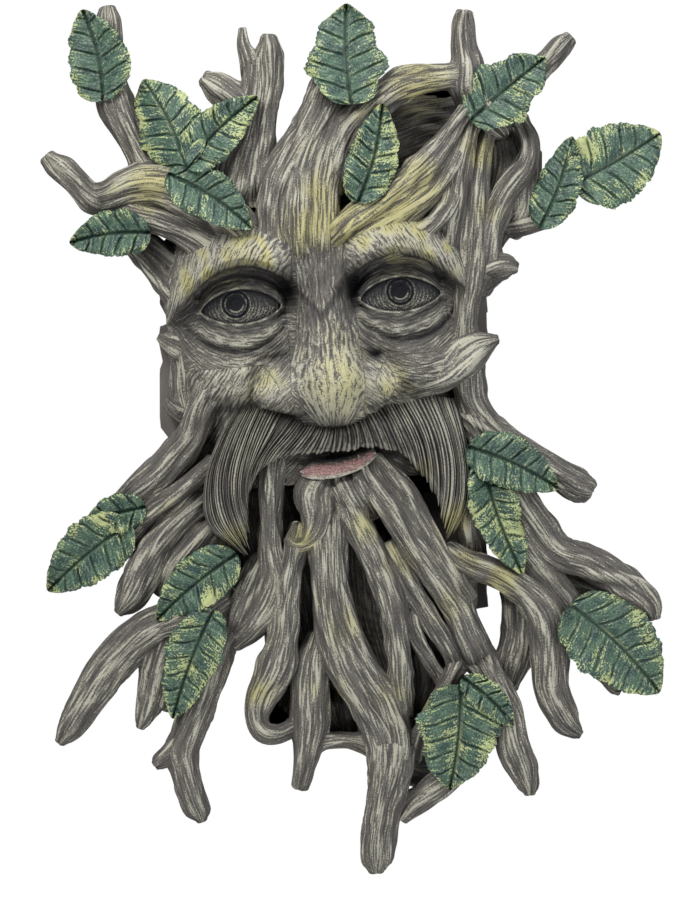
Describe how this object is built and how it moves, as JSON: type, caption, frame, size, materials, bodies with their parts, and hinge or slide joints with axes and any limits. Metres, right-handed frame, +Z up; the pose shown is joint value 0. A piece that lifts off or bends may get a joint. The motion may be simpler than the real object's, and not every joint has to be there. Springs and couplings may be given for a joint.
{
  "type": "tree face wall plaque",
  "caption": "Bearded tree face of twisted wood with branches, roots and moulded leaves, a flat-backed wall plaque with a keyhole pocket.",
  "frame": {"origin": "on the flat back in the wall plane, behind the mouth", "axes": "+Z up, -Y the way the face looks, +X to the viewer's right; the back lies at y = 0"},
  "size_m": [0.2185, 0.0622, 0.3002],
  "materials": {
    "painted_resin": "matt, hand-painted"
  },
  "bodies": {
    "root": {"tree_face": "painted_resin"}
  },
  "joints": []
}
